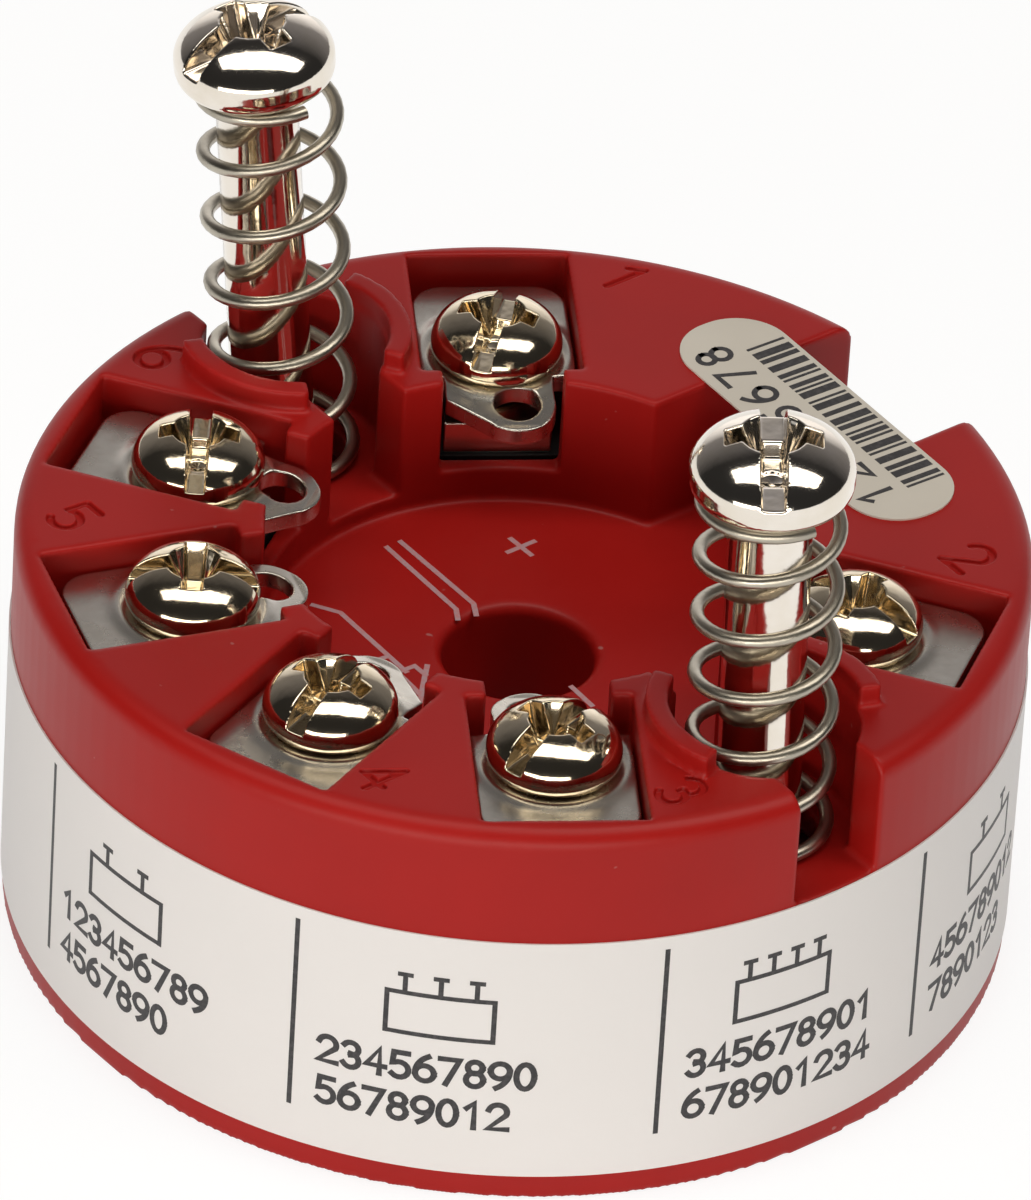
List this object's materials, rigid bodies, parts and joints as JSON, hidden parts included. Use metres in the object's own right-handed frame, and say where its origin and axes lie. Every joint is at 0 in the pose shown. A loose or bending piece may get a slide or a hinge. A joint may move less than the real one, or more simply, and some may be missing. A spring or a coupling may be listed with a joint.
{
  "type": "temperature transmitter",
  "caption": "Head-mounted temperature transmitter: round red moulded housing with screw terminals about a wire well and captive sprung mounting screws",
  "frame": {"origin": "centre of the mounting face, on the axis of the centre bore", "axes": "+Z out of the mounting face through the terminals, X through the two mounting screws, +Y towards the wire notch"},
  "size_m": [0.044, 0.044, 0.0363],
  "materials": {
    "housing_red": "satin moulded red",
    "carrier_black": "moulded black",
    "board_green": "solder mask",
    "cover_red": "satin moulded red",
    "label_white": "satin printed film",
    "sticker_cream": "matt paper",
    "transformer_tape": "wound tape",
    "chip_black": "moulded",
    "can_aluminium": "drawn",
    "contact_nickel": "nickel plated",
    "bush_brass": "turned",
    "plate_nickel": "matt nickel plated",
    "screw_nickel": "bright nickel plated",
    "mounting_nickel": "bright nickel plated",
    "spring_steel": "drawn wire",
    "ring_steel": "stamped"
  },
  "bodies": {
    "base": {"housing": "housing_red", "carrier_pair": "carrier_black", "carrier_row": "carrier_black", "circuit_board": "board_green", "base_cover": "cover_red", "label_band": "label_white", "barcode_sticker": "sticker_cream", "transformer": "transformer_tape", "controller_chip": "chip_black", "converter_chip": "chip_black", "capacitors": "can_aluminium", "resistors": "chip_black", "contact_1": "contact_nickel", "contact_2": "contact_nickel", "contact_3": "contact_nickel", "contact_4": "contact_nickel", "contact_5": "contact_nickel", "contact_6": "contact_nickel", "threaded_bush_1": "bush_brass", "threaded_bush_2": "bush_brass", "threaded_bush_3": "bush_brass", "threaded_bush_4": "bush_brass", "threaded_bush_5": "bush_brass", "threaded_bush_6": "bush_brass", "spring_left": "spring_steel", "spring_right": "spring_steel"},
    "clamp_1": {"clamp_plate_1": "plate_nickel"},
    "screw_1": {"terminal_screw_1": "screw_nickel"},
    "clamp_2": {"clamp_plate_2": "plate_nickel"},
    "screw_2": {"terminal_screw_2": "screw_nickel"},
    "clamp_3": {"clamp_plate_3": "plate_nickel"},
    "screw_3": {"terminal_screw_3": "screw_nickel"},
    "clamp_4": {"clamp_plate_4": "plate_nickel"},
    "screw_4": {"terminal_screw_4": "screw_nickel"},
    "clamp_5": {"clamp_plate_5": "plate_nickel"},
    "screw_5": {"terminal_screw_5": "screw_nickel"},
    "clamp_6": {"clamp_plate_6": "plate_nickel"},
    "screw_6": {"terminal_screw_6": "screw_nickel"},
    "ring_left": {"retaining_ring_left": "ring_steel"},
    "mounting_left": {"mounting_screw_left": "mounting_nickel"},
    "ring_right": {"retaining_ring_right": "ring_steel"},
    "mounting_right": {"mounting_screw_right": "mounting_nickel"}
  },
  "joints": [
    {"name": "lift_1", "type": "slide", "parent": "base", "child": "clamp_1", "axis": [0, 0, -1], "range_m": [0, 0.00105]},
    {"name": "turn_1", "type": "hinge", "parent": "clamp_1", "child": "screw_1", "pos_m": [-0.01254, 0.00814, 0.0179], "axis": [0, 0, -1], "range_deg": [0, 757]},
    {"name": "lift_2", "type": "slide", "parent": "base", "child": "clamp_2", "axis": [0, 0, -1], "range_m": [0, 0.00105]},
    {"name": "turn_2", "type": "hinge", "parent": "clamp_2", "child": "screw_2", "pos_m": [0.01254, 0.00814, 0.0179], "axis": [0, 0, -1], "range_deg": [0, 757]},
    {"name": "lift_3", "type": "slide", "parent": "base", "child": "clamp_3", "axis": [0, 0, -1], "range_m": [0, 0.00105]},
    {"name": "turn_3", "type": "hinge", "parent": "clamp_3", "child": "screw_3", "pos_m": [0.01254, -0.00814, 0.0179], "axis": [0, 0, -1], "range_deg": [0, 757]},
    {"name": "lift_4", "type": "slide", "parent": "base", "child": "clamp_4", "axis": [0, 0, -1], "range_m": [0, 0.00105]},
    {"name": "turn_4", "type": "hinge", "parent": "clamp_4", "child": "screw_4", "pos_m": [0.00487, -0.01414, 0.0179], "axis": [0, 0, -1], "range_deg": [0, 757]},
    {"name": "lift_5", "type": "slide", "parent": "base", "child": "clamp_5", "axis": [0, 0, -1], "range_m": [0, 0.00105]},
    {"name": "turn_5", "type": "hinge", "parent": "clamp_5", "child": "screw_5", "pos_m": [-0.00487, -0.01414, 0.0179], "axis": [0, 0, -1], "range_deg": [0, 757]},
    {"name": "lift_6", "type": "slide", "parent": "base", "child": "clamp_6", "axis": [0, 0, -1], "range_m": [0, 0.00105]},
    {"name": "turn_6", "type": "hinge", "parent": "clamp_6", "child": "screw_6", "pos_m": [-0.01254, -0.00814, 0.0179], "axis": [0, 0, -1], "range_deg": [0, 757]},
    {"name": "press_left", "type": "slide", "parent": "base", "child": "ring_left", "axis": [0.0536, 0.0643, -0.9965], "range_m": [0, 0.0117], "stiffness_N_per_m": 1100, "springref_m": -0.002, "deforming": ["spring_left"]},
    {"name": "drive_left", "type": "hinge", "parent": "ring_left", "child": "mounting_left", "pos_m": [-0.01685, -0.00042, 0.0129], "axis": [-0.0536, -0.0643, 0.9965], "continuous": true},
    {"name": "press_right", "type": "slide", "parent": "base", "child": "ring_right", "axis": [0.0156, 0.0188, -0.9997], "range_m": [0, 0.0095], "stiffness_N_per_m": 1100, "springref_m": -0.002, "deforming": ["spring_right"]},
    {"name": "drive_right", "type": "hinge", "parent": "ring_right", "child": "mounting_right", "pos_m": [0.0165, 0, 0.0129], "axis": [-0.0156, -0.0188, 0.9997], "continuous": true}
  ],
  "couplings": [
    {"joint": "turn_1", "follows": "lift_1", "rad_per_m": 12566},
    {"joint": "turn_2", "follows": "lift_2", "rad_per_m": 12566},
    {"joint": "turn_3", "follows": "lift_3", "rad_per_m": 12566},
    {"joint": "turn_4", "follows": "lift_4", "rad_per_m": 12566},
    {"joint": "turn_5", "follows": "lift_5", "rad_per_m": 12566},
    {"joint": "turn_6", "follows": "lift_6", "rad_per_m": 12566}
  ]
}
